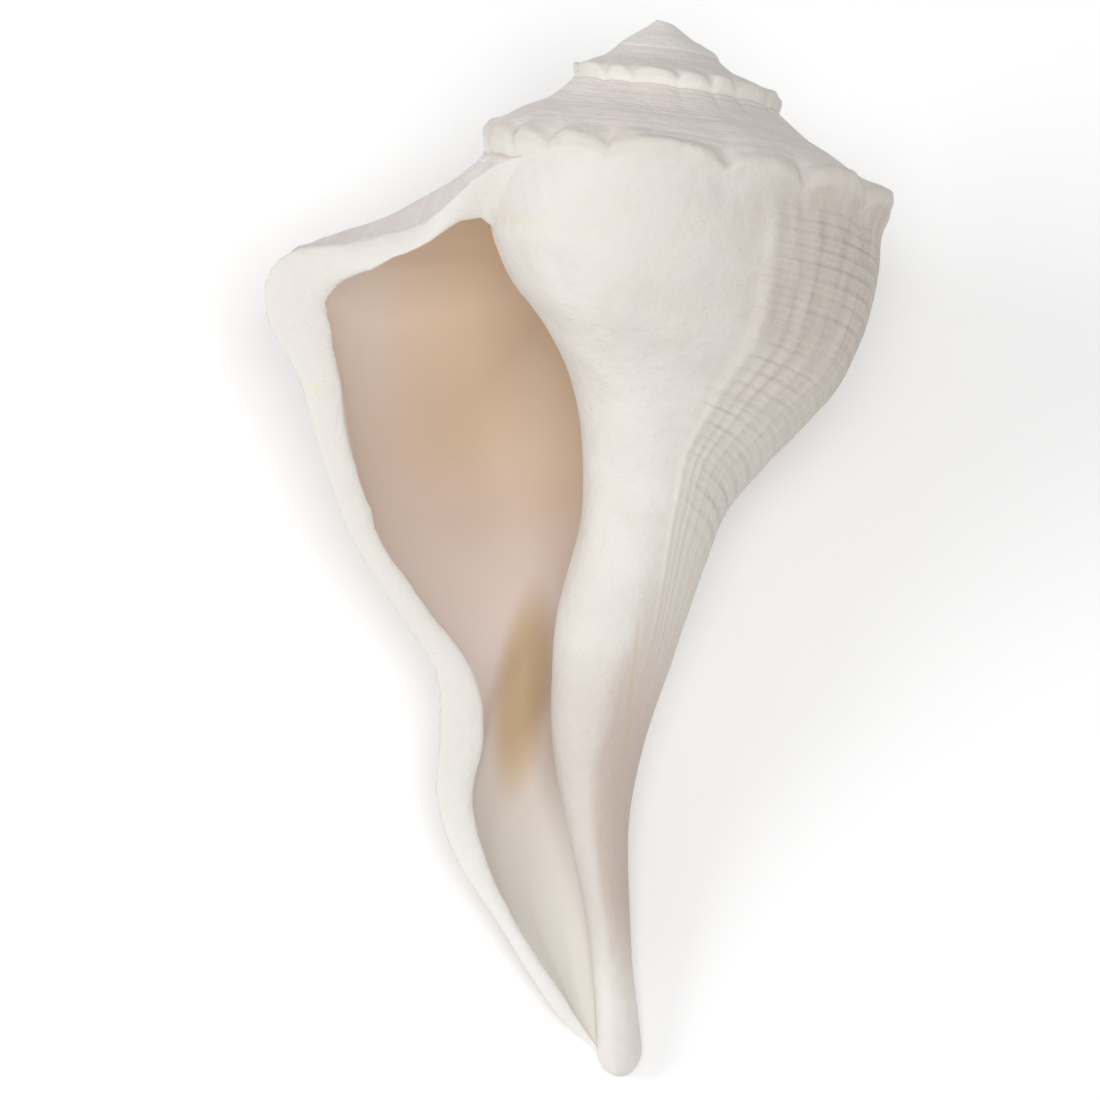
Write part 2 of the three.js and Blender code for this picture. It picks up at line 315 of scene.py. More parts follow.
    def outer(self, turn: float, row: float) -> Spot:
        """Spot on the outer surface, knobs included.

        Args:
            turn: The turn.
            row: The row.

        Returns:
            The spot.
        """
        if turn > self.first_turn - self.apex_cut:
            return (0.0, 0.0)
        if row > Row.MOUTH_END:
            radius, depth = self.outer(turn, Row.MOUTH_END)
            share = (row - Row.MOUTH_END) / (Row.TIP - Row.MOUTH_END)
            return radius * math.sqrt(1 - share * share), depth + (self.length - depth) * share
        radius, depth = curve(self.outline(turn), row)
        lift = self.knob(turn, row)
        return radius + self.knob_out * lift, depth - self.knob_rise * lift

    def mouth_turn(self, turn: float, away: float) -> float:
        """Turn in the hollow, which starts further forward near the mouth's upper corner.

        Args:
            turn: Turn counted from the mouth's edge.
            away: How many rows the place is from the corner.

        Returns:
            The turn to place it at.
        """
        forward = self.corner_start * (1 - smooth(away, 0, Row.SHOULDER))
        return turn + forward * (1 - smooth(turn, 0, 0.4))

    def body_turn(self, share: float, row: float) -> float:
        """Turn on the body whorl.

        Args:
            share: 0 at the lip's edge, 1 at the whorl's end.
            row: Near the suture the ramp starts further forward, over the whorl before.

        Returns:
            The turn.
        """
        forward = self.lip_start * max(0.0, 1 - row / Row.SHOULDER) ** 3.5
        above = min(1.0, max(0.0, (Row.MOUTH_TOP - row) / (Row.MOUTH_TOP - Row.SUTURE)))
        corner = self.mouth_turn(0, max(0.0, row - Row.MOUTH_TOP))
        sooner = self.lip_start * above + corner * (1 - above)
        return 2 * share + forward * (1 - smooth(share, 0, 0.25)) + sooner * smooth(share, 0.75, 1)

    @staticmethod
    def foot_row(turn: float) -> float:
        """Row of the outer wall where the hollow's foot is."""
        return 9.5 + (Row.MOUTH_END - 9.5) * math.exp(-1.9 * turn)

    def fit(self, turn: float) -> tuple[float, float, float]:
        """How the columella's outline is scaled to fit inside a turn.

        Args:
            turn: Turn counted from the mouth's edge.

        Returns:
            The scale of its radius, the scale of its depth, and the squeeze of its lower end.
        """
        shrink = math.exp(-self.radius_shrink * turn)
        sink = shrink ** self.depth_power
        foot = self.outer(turn, self.foot_row(turn))[1]
        low = sink * (self.inner_lip[Row.MOUTH_END][1] - self.free_depth)
        return shrink, sink, (foot - sink * self.free_depth) / low

    def inner(self, turn: float, row: float) -> Spot:
        """Spot on the columella.

        Args:
            turn: Turn counted from the mouth's edge.
            row: A row from MOUTH_TOP to MOUTH_END.

        Returns:
            The spot.
        """
        radius, depth = self.outer(self.mouth_turn(0, row - Row.MOUTH_TOP) + 2, row)
        shrink, sink, squeeze = self.fit(turn)
        low = max(0.0, depth - self.free_depth)
        return radius * shrink, sink * (min(depth, self.free_depth) + low * squeeze)

    def post_radius(self, turn: float, depth: float) -> float:
        """Radius of the columella.

        Args:
            turn: Turn counted from the mouth's edge.
            depth: Depth below the apex, in mm.

        Returns:
            The radius there, in mm.
        """
        shrink, sink, squeeze = self.fit(turn)
        goal = depth / sink
        if goal > self.free_depth:
            goal = self.free_depth + (goal - self.free_depth) / squeeze
        i = min(max(bisect_left(self._post, (goal, 0.0)), 1), len(self._post) - 1)
        (low, a), (high, b) = self._post[i - 1], self._post[i]
        share = min(1.0, max(0.0, (goal - low) / (high - low)))
        return (a + (b - a) * share) * shrink

    def wall(self, turn: float, share: float) -> Spot:
        """Spot on the hollow's outer wall.

        Args:
            turn: Turn counted from the mouth's edge.
            share: 0 at the upper corner, 1 at the hollow's foot.

        Returns:
            The spot.
        """
        share = 1 - (1 - share) ** (1 + 0.6 * smooth(turn, 0, 0.25))
        radius, depth = curve(self.outline(turn), share * self.foot_row(turn))
        inward, down = curve(self.lip_wall, share * Row.MOUTH_END)
        thick = self.thin_wall + (1 - self.thin_wall) * math.exp(-turn / self.lip_fade)
        thick *= math.exp(-0.2 * turn)
        radius, depth = radius + inward * thick, depth + down * thick
        post = self.post_radius(turn, depth)
        start = 0.8 + 0.17 * math.exp(-turn / 0.1)
        end = max(0.0, (share - start) / (1 - start))
        corner = self.inner(turn, Row.MOUTH_TOP)
        join = 1 - smooth(share * Row.MOUTH_END, 0, 0.7)
        radius = post + (radius - post) * math.sqrt(max(0.0, 1 - end * end))
        return radius + (corner[0] - radius) * join, depth + (corner[1] - depth) * join

    def hollow(self, turn: float, away: float, spot: Spot) -> Vector:
        """Point in the hollow, which narrows to a point at its upper end.

        Args:
            turn: Turn counted from the mouth's edge.
            away: How many rows the place is from the mouth's upper corner.
            spot: The spot, before the hollow narrows.

        Returns:
            The point, in mm.
        """
        centre = self.inner(turn, 8)
        end = max(0.0, (turn - self.hollow_end + 0.5) / 0.5)
        width = math.sqrt(max(0.0, 1 - end * end))
        middle = (centre[0] * 1.6, centre[1])
        shut = tuple(m + (value - m) * width for m, value in zip(middle, spot))
        return self.place(self.mouth_turn(turn, away), shut)


class Zone(Enum):
    """Which face of the wall a patch of skin is on."""

    OUTSIDE = 0.0
    LIP = 1.0
    LINING = 2.0
    COLUMELLA = 3.0


@dataclass
class Patch:
    """One grid of skin, over two lists of values."""

    zone: Zone
    first: Sequence[float]
    second: Sequence[float]
    point: Callable[[float, float], Vector]
    growth: Callable[[float, float], Spot]
    edge: Callable[[float, float], float]


@dataclass
class WhelkShell:
    """The shell, sewn from five patches of skin into one closed wall.

    Each growth mark holds its turn, its height in mm and its width in turns. The underside is worn
    down by a fraction of a mm where it rests.
    """

    growth: Growth = field(default_factory=Growth)
    pitch: float = math.radians(20)
    worn: float = 0.5
    steps_per_whorl: int = 320
    rim_steps: int = 10
    tip_steps: int = 8
    growth_marks: tuple[tuple[float, float, float], ...] = (
        (0.11, 0.3, 0.012), (0.19, 0.2, 0.01), (0.3, 0.35, 0.016), (0.41, 0.2, 0.01),
        (0.53, 0.3, 0.014), (0.6, 0.2, 0.01), (0.72, 0.35, 0.016), (0.83, 0.25, 0.012),
        (0.95, 0.25, 0.01), (1.04, 0.35, 0.012), (1.11, 0.45, 0.01), (1.18, 0.7, 0.014),
        (1.23, 0.8, 0.011), (1.265, 0.55, 0.009), (1.305, 0.75, 0.015),
    )

    def __post_init__(self) -> None:
        """Sets out the rows and turns that the patches share."""
        ramp = [*spread(0, 2.2, 10), *spread(2.3, 3.6, 15), *spread(3.72, Row.SUTURE, 2)]
        self.ramp_rows = ramp
        self.rim_shares = [(1 - math.cos(math.pi * x)) / 2 for x in spread(0, 1, self.rim_steps)]
        fall = Row.MOUTH_TOP - Row.SUTURE
        self.upper_rows = [Row.SUTURE + share * fall for share in self.rim_shares]
        self.mouth_rows = spread(Row.MOUTH_TOP, Row.MOUTH_END, 88)
        self.tip_rows = [
            Row.MOUTH_END + math.sin(math.pi / 2 * x) for x in spread(0, 1, self.tip_steps)
        ]
        self.lip_rows = [*ramp, *self.upper_rows[1:], *self.mouth_rows[1:]]
        self.body_shares = spread(0, 1, self.steps_per_whorl)
        self.spire_turns = [2 + self.growth.body_turn(share, 0) for share in self.body_shares]
        for first in (4, 6):
            whorl = [first + self.growth.body_turn(share, 0) for share in self.body_shares]
            self.spire_turns += whorl[1:]
        near = [x ** 1.5 for x in spread(0, 1, 54)]
        far = [*spread(1, 2, 22)[1:], *spread(2, self.growth.hollow_end, 20)[1:]]
        self.hollow_turns = [*near, *far]

    def patches(self) -> list[Patch]:
        """Cuts the skin into patches.

        Returns:
            The spire's ramps, the body whorl, the lip's face, the lining and the columella.
        """
        g = self.growth

        def outside(turn: float, row: float) -> Vector:
            """Point on the outer surface."""
            return g.place(turn, g.outer(turn, row))

        def to_inner_lip(turn: float, row: float) -> float:
            """Distance from the mouth's inner edge, in mm, less than zero outside the mouth."""
            way = -math.pi * max(0.0, 2 - turn) * g.outer(turn, row)[0]
            return way if row > 5 else FAR_OUTSIDE

        def rim(row: float, share: float) -> Vector:
            """Point on the face of the outer lip.

            Args:
                row: The row.
                share: 0 at the lip's outer edge, 1 at its inner edge.

            Returns:
                The point, in mm.
            """
            if row == 0:
                root = Row.SUTURE + share * (Row.MOUTH_TOP - Row.SUTURE)
                return outside(g.body_turn(1, root), root)
            start = outside(g.body_turn(0, row), row)
            end = g.place(g.mouth_turn(0, row), g.wall(0, row / Row.MOUTH_END))
            out = 1.0 * max(0.0, math.sin(math.pi * share)) ** 0.45
            out *= smooth(row, 0, 1) * (1 - smooth(row, 14, Row.MOUTH_END))
            return start.lerp(end, share) + Vector((0, 0, out))

        return [
            Patch(
                Zone.OUTSIDE, self.spire_turns, self.ramp_rows, outside,
                lambda turn, row: (turn, row), lambda turn, row: FAR_OUTSIDE,
            ),
            Patch(
                Zone.OUTSIDE, self.body_shares, [*self.lip_rows, *self.tip_rows[1:]],
                lambda share, row: outside(g.body_turn(share, row), row),
                lambda share, row: (g.body_turn(share, row), row),
                lambda share, row: to_inner_lip(g.body_turn(share, row), row),
            ),
            Patch(
                Zone.LIP, self.lip_rows, self.rim_shares, rim,
                lambda row, share: (0.1 * (1 - share), row), lambda row, share: 8 * (share - 1),
            ),
            Patch(
                Zone.LINING, self.lip_rows, self.hollow_turns,
                lambda row, turn: g.hollow(turn, row, g.wall(turn, row / Row.MOUTH_END)),
                lambda row, turn: (turn, row),
                lambda row, turn: math.pi * turn * g.wall(turn, row / Row.MOUTH_END)[0],
            ),
            Patch(
                Zone.COLUMELLA, self.hollow_turns, self.mouth_rows,
                lambda turn, row: g.hollow(turn, row - Row.MOUTH_TOP, g.inner(turn, row)),
                lambda turn, row: (turn, row),
                lambda turn, row: math.pi * turn * g.inner(turn, row)[0],
            ),
        ]

    def lay(self, bm: bmesh.types.BMesh, patch: Patch) -> None:
        """Adds a patch to the mesh as a grid, and notes where each corner of its faces has grown.

        Args:
            bm: The mesh.
            patch: The patch to add.
        """
        columns, rows = len(patch.first) - 1, len(patch.second) - 1
        grid = bmesh.ops.create_grid(bm, x_segments=columns, y_segments=rows, size=1.0)["verts"]
        growth_map = bm.loops.layers.uv["growth"]
        place_map = bm.loops.layers.uv["place"]
        relief = bm.verts.layers.float_vector["relief"]
        notes: dict[bmesh.types.BMVert, tuple[Spot, Spot]] = {}
        for vert in grid:
            a = patch.first[round((vert.co.x + 1) / 2 * columns)]
            b = patch.second[round((vert.co.y + 1) / 2 * rows)]
            vert.co = patch.point(a, b)
            turn, row = patch.growth(a, b)
            notes[vert] = (turn, row), (patch.edge(a, b), patch.zone.value)
            vert[relief] = (turn, row, patch.zone.value)
        for face in {face for vert in grid for face in vert.link_faces}:
            for loop in face.loops:
                loop[growth_map].uv, loop[place_map].uv = notes[loop.vert]

    def carve(self, bm: bmesh.types.BMesh) -> None:
        """Raises the fine relief along the normals.

        Args:
            bm: The mesh, in mm.
        """
        relief = bm.verts.layers.float_vector["relief"]
        bm.normal_update()
        moves = []
        for vert in bm.verts:
            turn, row, zone = vert[relief]
            if zone == Zone.OUTSIDE.value:
                moves.append((vert, vert.normal * self.outer_relief(turn, row, vert.co)))
            elif zone in (Zone.LIP.value, Zone.LINING.value) and turn < 0.06:
                moves.append((vert, self.chip(turn, row, zone, vert.co)))
        for vert, move in moves:
            vert.co += move

    @staticmethod
    def chip(turn: float, row: float, zone: float, spot: Vector) -> Vector:
        """How far the lip's inner edge strays from a smooth line.

        Args:
            turn: The turn, counted from the edge.
            row: The row.
            zone: The value of the zone.
            spot: The point, in mm.

        Returns:
            The shift, in mm.
        """
        stray = 0.9 * noise.noise(Vector((row * 1.7, 0.3, 0)))
        stray += 0.6 * noise.noise(Vector((row * 5.3, 4.1, 0)))
        stray *= smooth(row, 0.6, 1.6) * (1 - smooth(row, 14.2, 15.6))
        stray *= math.exp(-turn / (0.018 if zone == Zone.LIP.value else 0.006))
        return Vector((-38 - spot.x, -80 - spot.y, 0)).normalized() * stray

    def outer_relief(self, turn: float, row: float, spot: Vector) -> float:
        """Height of the relief on the outer surface, in mm.

        Args:
            turn: The turn.
            row: The row.
            spot: The point, in mm.

        Returns:
            The height.
        """
        fade = smooth(row, 0.05, 0.3) * (1 - smooth(row, 16, Row.TIP))
        swell = 0.45 * noise.noise(spot * 0.05) + 0.2 * noise.noise(spot * 0.13)
        waves = 0.35 * noise.noise(Vector((turn * 9, row * 0.35, 3.7)))
        bare = 1 - smooth(turn, 1.26, 1.34)
        wander = 0.014 * math.sin(1.1 * row) + 0.012 * noise.noise(Vector((row * 1.3, 0.5, 0)))
        marks = sum(
            height * bump_at(turn + wander * (1 if turn > 1 else 0.6), at, width)
            for at, height, width in self.growth_marks
        )
        marks *= smooth(row, 3.9, 4.9) * (1 - smooth(row, 11, 14))
        ramp_marks = 0.3 * noise.noise(Vector((turn * 16 + row * 0.9, row * 0.5, 8.1)))
        ramp_marks *= bump_at(row, 1.5, 1.0) * (1 - smooth(turn, 3.4, 5))
        rough = 0.5 * noise.noise(spot * 0.3) * bump_at(row, Row.SHOULDER, 0.5)
        rough *= 1 - smooth(turn, 4, 5)
        thick = min(1.0, math.hypot(spot.x, spot.z) / 36)
        lines = waves * (0.45 + 0.55 * bare) + marks * smooth(turn, 0.0, 0.05) + ramp_marks
        crease = -0.8 * bump_at(row, 5.5, 0.22) * smooth(turn, 1.6, 1.78)
        return fade * (thick * (swell + lines) + rough) + crease

    def set_down(self, bm: bmesh.types.BMesh) -> Matrix:
        """Turns the shell to the way it rests and fits it to its solid's box.

        Args:
            bm: The mesh, in mm.

        Returns:
            The transform from the shell's own axes, in mm, to the scene.
        """
        turned = Matrix.Rotation(self.pitch, 4, "X")
        bm.transform(turned)
        low = Vector([min(v.co[i] for v in bm.verts) for i in range(3)])
        high = Vector([max(v.co[i] for v in bm.verts) for i in range(3)])
        low.z += self.worn
        box_low, box_high = (Vector(corner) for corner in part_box("shell"))
        size = [(b - a) / (d - c) for a, b, c, d in zip(box_low, box_high, low, high)]
        scale = Matrix.Diagonal((*size, 1))
        fitted = Matrix.Translation(box_low) @ scale @ Matrix.Translation(-low)
        bm.transform(fitted)
        for vert in bm.verts:
            vert.co.z = max(vert.co.z, box_low.z)
        return fitted @ turned

    def build(self) -> tuple[bpy.types.Object, Matrix]:
        """Makes the shell's object.

        Returns:
            The object, and the transform from the shell's own axes to the scene.
        """
        bm = bmesh.new()
        for name in ("growth", "place"):
            bm.loops.layers.uv.new(name)
        bm.verts.layers.float_vector.new("relief")
        for patch in self.patches():
            self.lay(bm, patch)
        bmesh.ops.remove_doubles(bm, verts=bm.verts, dist=0.002)
        bmesh.ops.dissolve_degenerate(bm, edges=bm.edges, dist=1e-4)
        bmesh.ops.recalc_face_normals(bm, faces=bm.faces)
        self.carve(bm)
        placed = self.set_down(bm)
        for face in bm.faces:
            face.smooth = True
        open_edges = sum(not edge.is_manifold for edge in bm.edges)
        mesh = bpy.data.meshes.new("whelk_shell")
        bm.to_mesh(mesh)
        bm.free()
        shell = bpy.data.objects.new("whelk_shell", mesh)
        bpy.context.scene.collection.objects.link(shell)
        LOG.info("skin sewn, %d open edges", open_edges)
        return shell, placed


class Number:
    """A number in a shader, with arithmetic."""

    def __init__(self, kit: "Kit", socket: bpy.types.NodeSocket) -> None:
        """Wraps an output socket."""
        self.kit, self.socket = kit, socket

    def math(self, operation: str, *others: "Number | float", clamp: bool = False) -> "Number":
        """Adds a Math node.

        Args:
            operation: What the node does.
            others: What follows this number in its inputs.
            clamp: Whether the result is kept between 0 and 1.

        Returns:
            The result.
        """
        values = dict(enumerate((self, *others)))
        settings = {"operation": operation, "use_clamp": clamp}
        return Number(self.kit, self.kit.node("ShaderNodeMath", settings, values).outputs[0])

    def __add__(self, other: "Number | float") -> "Number":
        """Sum."""
        return self.math("ADD", other)

    __radd__ = __add__

    def __mul__(self, other: "Number | float") -> "Number":
        """Product."""
        return self.math("MULTIPLY", other)

    __rmul__ = __mul__

    def __sub__(self, other: "Number | float") -> "Number":
        """Difference."""
        return self.math("SUBTRACT", other)

    def __rsub__(self, other: float) -> "Number":
        """Difference, from a plain number."""
        return self * -1.0 + other

    def step(self, low: float, high: float) -> "Number":
        """Smooth step from 0 to 1.

        Args:
            low: Where the step is 0.
            high: Where the step is 1, which may be less than low.

        Returns:
            The step.
        """
        settings = {"interpolation_type": "SMOOTHSTEP"}
        sockets = {0: self, 1: low, 2: high, 3: 0.0, 4: 1.0}
        if low > high:
            sockets = {0: self, 1: high, 2: low, 3: 1.0, 4: 0.0}
        return Number(self.kit, self.kit.node("ShaderNodeMapRange", settings, sockets).outputs[0])


def band(x: Number, low: float, high: float, soft: float) -> Number:
    """1 between low and high, falling to 0 over a soft edge on each side."""
    return x.step(low - soft, low) * x.step(high + soft, high)


class Kit:
    """Adds nodes to a material."""

    def __init__(self, tree: bpy.types.NodeTree) -> None:
        """Starts from an empty tree."""
        self.tree = tree
        tree.nodes.clear()

    def node(
        self, kind: str, settings: dict[str, object], sockets: dict[int | str, object]
    ) -> bpy.types.Node:
        """Adds a node.

        Args:
            kind: The node's type.
            settings: Its properties, set first.
            sockets: Values or links for its inputs, by name or number.

        Returns:
            The node.
        """
        node = self.tree.nodes.new(kind)
        for name, value in settings.items():
            setattr(node, name, value)
        for key, value in sockets.items():
            socket = node.inputs[key]
            if isinstance(value, Number):
                value = value.socket
            if isinstance(value, bpy.types.NodeSocket):
                self.tree.links.new(value, socket)
            else:
                socket.default_value = value
        return node

    def split(self, vector: bpy.types.NodeSocket) -> tuple[Number, Number, Number]:
        """The three numbers of a vector."""
        node = self.node("ShaderNodeSeparateXYZ", {}, {0: vector})
        return tuple(Number(self, out) for out in node.outputs)

    def join(
        self, x: Number | float, y: Number | float, z: Number | float
    ) -> bpy.types.NodeSocket:
        """A vector of three numbers."""
        return self.node("ShaderNodeCombineXYZ", {}, {0: x, 1: y, 2: z}).outputs[0]

    def noise(self, vector: bpy.types.NodeSocket, scale: float, detail: float) -> Number:
        """Adds a Noise node.

        Args:
            vector: Where it is read.
            scale: How many of its largest lumps fit in a unit of length.
            detail: How many times finer lumps are added.

        Returns:
            Noise from 0 to 1.
        """
        sockets = {"Vector": vector, "Scale": scale, "Detail": detail, "Roughness": 0.55}
        node = self.node("ShaderNodeTexNoise", {}, sockets)
        return Number(self, node.outputs[0])

    def mix(
        self,
        share: Number | float,
        a: Colour | bpy.types.NodeSocket,
        b: Colour | bpy.types.NodeSocket,
    ) -> bpy.types.NodeSocket:
        """Mixes two colours.

        Args:
            share: How much of the second colour there is, from 0 to 1.
            a: The first colour.
            b: The second colour.

        Returns:
            The mixed colour.
        """
        sides = [(*c, 1.0) if isinstance(c, tuple) else c for c in (a, b)]
        settings = {"data_type": "RGBA"}
        return self.node("ShaderNodeMix", settings, {0: share, 6: sides[0], 7: sides[1]}).outputs[2]


class Skin:
    """Where a point of the surface has grown, and the patterns that follow from it."""

    def __init__(self, kit: Kit, placed: Matrix) -> None:
        """Adds the nodes that read the surface.

        Args:
            kit: The material's nodes.
            placed: The transform from the shell's own axes, in mm, to the scene.
        """
        own = placed.inverted()
        sockets = {
            "Vector": kit.node("ShaderNodeTexCoord", {}, {}).outputs["Object"],
            "Location": own.to_translation(), "Rotation": own.to_euler(), "Scale": own.to_scale(),
        }
        self.where = kit.node("ShaderNodeMapping", {"vector_type": "POINT"}, sockets).outputs[0]
        self.x, self.y, self.z = kit.split(self.where)
        self.turn, self.row, _ = kit.split(
            kit.node("ShaderNodeUVMap", {"uv_map": "growth"}, {}).outputs[0]
        )
        edge, zone, _ = kit.split(kit.node("ShaderNodeUVMap", {"uv_map": "place"}, {}).outputs[0])
        self.outside, self.lining = zone.step(0.5, 0.2), zone.step(1.5, 1.8)
        self.slant = self.x - self.y * 0.077

        self.blotch = kit.noise(self.where, 0.06, 2.0)
        self.streak = kit.noise(kit.join(self.turn * 42.0, self.row * 0.7, zone), 1.0, 3.0)
        self.strand = kit.noise(kit.join(self.row * 9.0, self.turn * 3.0, zone), 1.0, 3.0)
        self.grain = kit.noise(self.where, 1.7, 2.0)
        self.inside = (edge + (kit.noise(self.where, 1.3, 2.0) - 0.5) * 0.8).step(-0.15, 0.1)

        callus_edge = self.turn + (kit.noise(self.where, 0.09, 3.0) - 0.5) * 0.16
        # Lower down, the bare side reaches further onto the columella, which widens the darker
        # pinkish brown there.
        callus_edge -= self.row.step(10.0, 12.5) * 0.16 + self.row.step(13.0, 14.4) * 0.14
        bare = callus_edge.step(1.37, 1.22) * self.row.step(3.0, 3.4) * self.outside
        self.bare = bare * (1.0 - self.row.step(14.5, 15.3) * 0.85)
        self.ramp = (self.row - self.turn.step(4.1, 4.7) * 3.0).step(2.85, 2.6) * self.outside
        self.knobs = band(self.row, 2.85, 3.4, 0.25) * self.outside * self.turn.step(4.6, 3.9)

    def spot(self, across: Number, centre: Spot, reach: Spot) -> Number:
        """Soft oval round a place, in mm."""
        a, b = (across - centre[0]) * (1 / reach[0]), (self.y - centre[1]) * (1 / reach[1])
        return (a * a + b * b).step(1.2, 0.1)


@dataclass(frozen=True)
class BleachedShell:
    """Chalky white shell: smooth callus round the mouth, bare outside, satin lining within."""

    chalk: Colour = (0.735, 0.705, 0.66)
    # Lighter chalk: painted light on the lower lip, and the paler tone of the topmost whorls.
    pale_chalk: Colour = (0.80, 0.77, 0.735)
    # Greyer chalk: random blotches, and painted shade on the callus's right-hand part.
    dull_chalk: Colour = (0.635, 0.595, 0.555)
    cream: Colour = (0.655, 0.605, 0.555)
    bare: Colour = (0.55, 0.485, 0.43)
    pale_bare: Colour = (0.62, 0.565, 0.515)
    neck: Colour = (0.67, 0.62, 0.57)
    # Darker pinkish brown: partly the columella's own tint, partly painted shade on its right-hand
    # side.
    clay_and_painted_shade: Colour = (0.56, 0.465, 0.41)
    ramp: Colour = (0.70, 0.635, 0.61)
    pale_ramp: Colour = (0.755, 0.70, 0.665)
    # Dark brown: painted shade along the suture, and small specks over the pits.
    suture_shade_and_specks: Colour = (0.52, 0.43, 0.34)
    tan: Colour = (0.755, 0.595, 0.45)
    # Much lighter tan: the lining's tan with painted light for the shut-in upper right of the
    # hollow.
    painted_light_tan: Colour = (0.96, 0.81, 0.645)
    # Pink lightened as painted light, for the hollow just behind the lip.
    painted_light_pink: Colour = (0.97, 0.895, 0.835)
    rose: Colour = (0.82, 0.705, 0.65)
    post: Colour = (0.58, 0.52, 0.475)
    trough: Colour = (0.68, 0.64, 0.585)
    ochre: Colour = (0.60, 0.44, 0.25)
    yellow: Colour = (0.76, 0.66, 0.42)
    outer_roughness: float = 0.62
    lining_gloss: float = 0.2
    specular: float = 0.35

    def outer(self, kit: Kit, skin: Skin) -> bpy.types.NodeSocket:
        """Colours the callus, the bare side, the knobs and the ramps.

        Args:
            kit: The material's nodes.
            skin: The patterns.

        Returns:
            The colour.
        """
        turn, row, y, outside = skin.turn, skin.row, skin.y, skin.outside
        # Random dull blotches, plus painted shade that darkens the callus's right-hand part (turn
        # below about 1.7, upper rows) towards dull chalk.
        blotches_and_painted_shade = skin.blotch.step(0.4, 0.65) * 0.3 + turn.step(1.7, 1.45) * row.step(9.5, 6.0) * 0.75
        # Painted light: the lower lip's face, tilted from the lamps, is lightened towards pale
        # chalk; the outside of the canal's tip is made paler too.
        painted_light_low_lip_and_pale_tip = y.step(-138.0, -172.0) * (1.0 - outside) + y.step(-174.0, -188.0) * outside
        colour = kit.mix(painted_light_low_lip_and_pale_tip, self.chalk, self.pale_chalk)
        colour = kit.mix(blotches_and_painted_shade * outside, colour, self.dull_chalk)
        colour = kit.mix(band(y, -166.0, -130.0, 16.0) * outside * 0.62, colour, self.post)
        mottle = kit.noise(skin.where, 0.11, 4.0).step(0.45, 0.75) * outside
        colour = kit.mix(mottle * 0.4, colour, self.cream)
        side = kit.mix(skin.streak.step(0.3, 0.7), self.bare, self.pale_bare)
        side = kit.mix(row.step(6.0, 8.5), side, self.neck)
        # The lower rows of the bare side, on the columella's right-hand side, turn darker pinkish
        # brown: partly the shell's own tint, partly painted shade on the side turned from the side
        # lamp.
        side = kit.mix(row.step(11.0, 13.5), side, self.clay_and_painted_shade)
        colour = kit.mix(skin.bare, colour, side)
        colour = kit.mix(skin.knobs * (0.85 - turn.step(2.5, 3.0) * 0.45), colour, self.cream)
        slope = kit.mix(skin.strand.step(0.35, 0.7), self.ramp, self.pale_ramp)
        slope = kit.mix(turn.step(3.9, 4.7) * 0.6, slope, self.pale_chalk)
        colour = kit.mix(skin.ramp, colour, slope)
        # Painted shade: a thin dark line along the suture, where one whorl meets the next.
        colour = kit.mix(row.step(0.1, 0.02) * outside * 0.6, colour, self.suture_shade_and_specks)
        # Small darker specks over the grain's pits.
        return kit.mix(skin.grain.step(0.27, 0.22) * 0.12, colour, self.suture_shade_and_specks)

    def stains(
        self, kit: Kit, skin: Skin, colour: bpy.types.NodeSocket
    ) -> bpy.types.NodeSocket:
        """Adds the tinted crease, the thread along the columella and two specks.

        Args:
            kit: The material's nodes.
            skin: The patterns.
            colour: The colour under them.

        Returns:
            The stained colour.
        """
        turn, row, y, z, outside = skin.turn, skin.row, skin.y, skin.z, skin.outside
        crease = band(row, 5.45, 5.55, 0.13) * turn.step(1.66, 1.8) * outside
        thread = band(skin.slant, 9.4, 9.6, 0.5) * band(y, -148.0, -118.0, 9.0)
        thread = thread * z.step(0.0, 4.0) * outside
        specks = skin.spot(skin.x, (-61.8, -72.4), (0.8, 1.2)) * (1.0 - outside)
        specks += skin.spot(skin.x, (-8.6, -182.0), (1.8, 2.8)) * z.step(-3.0, 0.0)
        tint = (crease * 0.25 + specks * 0.6) * (0.4 + skin.blotch)
        return kit.mix(thread * 0.3, kit.mix(tint, colour, self.yellow), self.ochre)

    def cavity(self, kit: Kit, skin: Skin) -> bpy.types.NodeSocket:
        """Colours the lining: pink by the lip, tan deeper in, pale along the canal; the pink and
        the deep tan are lightened as painted light.

        Args:
            kit: The material's nodes.
            skin: The patterns.

        Returns:
            The colour.
        """
        x, y = skin.x, skin.y
        warm = (x + skin.blotch * 5.0).step(-59.0, -32.0)
        warm *= (y + skin.blotch * 10.0).step(-104.0, -70.0)
        # Painted light: in the upper right of the hollow, the most shut-in part, the lining takes a
        # much lighter tan, standing in for light that shines through the thin wall and bounces
        # inside.
        deep = x.step(-35.0, -16.0).math("MAXIMUM", y.step(-74.0, -50.0) * x.step(-52.0, -32.0))
        # Painted light: the pink by the lip is lightened where the lip shades the hollow, giving
        # way to darker rose lower down.
        cool = kit.mix((y + skin.blotch * 10.0).step(-45.0, -88.0), self.painted_light_pink, self.rose)
        colour = kit.mix(warm, cool, kit.mix(deep, self.tan, self.painted_light_tan))
        colour = kit.mix(y.step(-116.0, -168.0), colour, self.trough)
        # A soft darker ochre band down the trough beside the columella.
        ochre_band = skin.spot(skin.slant, (-10.6, -128.5), (6.0, 22.0))
        return kit.mix(ochre_band * 0.85, colour, self.ochre)

